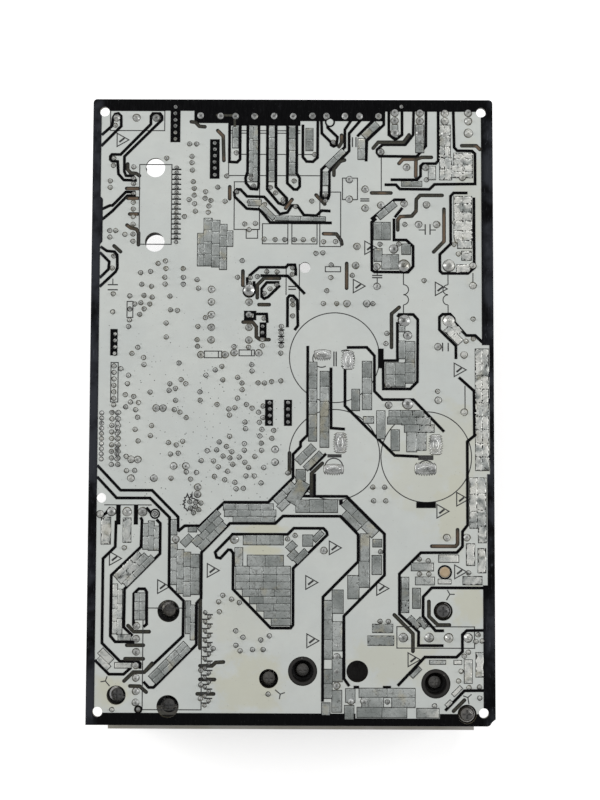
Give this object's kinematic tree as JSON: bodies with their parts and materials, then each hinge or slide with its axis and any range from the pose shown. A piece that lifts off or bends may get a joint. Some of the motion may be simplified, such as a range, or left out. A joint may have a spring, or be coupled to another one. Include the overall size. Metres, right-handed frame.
{
  "type": "main control board",
  "caption": "Main control board of an outdoor inverter unit, solder side up, with the heat sink and the parts on its hidden side.",
  "frame": {"origin": "centre of the four corner mounting holes, on the component side of the board", "axes": "+Z out of the solder side, +Y along the board's length away from the heat sink, +X along its width"},
  "size_m": [0.158, 0.2482, 0.0536],
  "materials": {
    "solder_mask": "pale grey-white solder mask, satin, on glass-fibre sheet",
    "black_print": "thick black print, glossy where coated",
    "solder": "tinned solder, bright and slightly rough",
    "sink_aluminium": "mill-finish extruded aluminium",
    "black_epoxy": "moulded black epoxy",
    "holder_black": "black glass-filled nylon",
    "screw_steel": "black-passivated steel",
    "tan_nylon": "natural tan nylon",
    "can_sleeve": "dark heat-shrink sleeve",
    "tinned_brass": "tin-plated brass",
    "nickel_steel": "nickel-plated steel",
    "enamelled_copper": "enamelled copper wire",
    "ferrite": "ground ferrite",
    "coated_core": "epoxy-coated ring core",
    "relay_black": "black moulded case",
    "relay_blue": "blue moulded case",
    "film_yellow": "yellow box capacitor case",
    "film_red": "red-brown dipped film capacitor",
    "ceramic_blue": "blue epoxy dip",
    "dip_brown": "ochre epoxy dip",
    "fuse_ceramic": "white ceramic tube",
    "tape_yellow": "yellow winding tape on a coil former",
    "white_nylon": "natural white nylon"
  },
  "bodies": {
    "root": {"circuit_board": "solder_mask", "guard_print": "black_print", "solder_tracks": "solder", "solder_joints": "solder", "heatsink": "sink_aluminium", "compressor_drive_module": "black_epoxy", "fan_drive_module": "black_epoxy", "bridge_rectifier": "black_epoxy", "boost_transistor": "black_epoxy", "boost_diode": "black_epoxy", "device_holder": "holder_black", "heatsink_screws": "screw_steel", "support_peg": "tan_nylon", "bulk_capacitor_upper": "can_sleeve", "bulk_capacitor_lower": "can_sleeve", "bulk_capacitor_right": "can_sleeve", "terminal_block": "relay_black", "terminal_clamps": "tinned_brass", "terminal_screws": "nickel_steel", "choke_base": "relay_black", "choke_core": "coated_core", "choke_windings": "enamelled_copper", "main_relay": "relay_black", "small_relays": "relay_blue", "filter_capacitor": "film_yellow", "bus_film_capacitors": "film_red", "surge_absorber": "ceramic_blue", "safety_capacitors": "ceramic_blue", "fuse_tube": "fuse_ceramic", "fuse_clips": "tinned_brass", "transformer_core": "ferrite", "transformer_bobbin": "tape_yellow", "supply_controller": "black_epoxy", "microcontroller": "black_epoxy", "small_chips": "black_epoxy", "load_connectors": "white_nylon", "load_connector_tabs": "tinned_brass", "motor_connector": "white_nylon", "signal_connectors": "white_nylon", "signal_connector_pins": "tinned_brass", "radial_parts": "dip_brown", "small_capacitors": "can_sleeve", "axial_parts": "black_epoxy", "component_leads": "tinned_brass"}
  },
  "joints": []
}
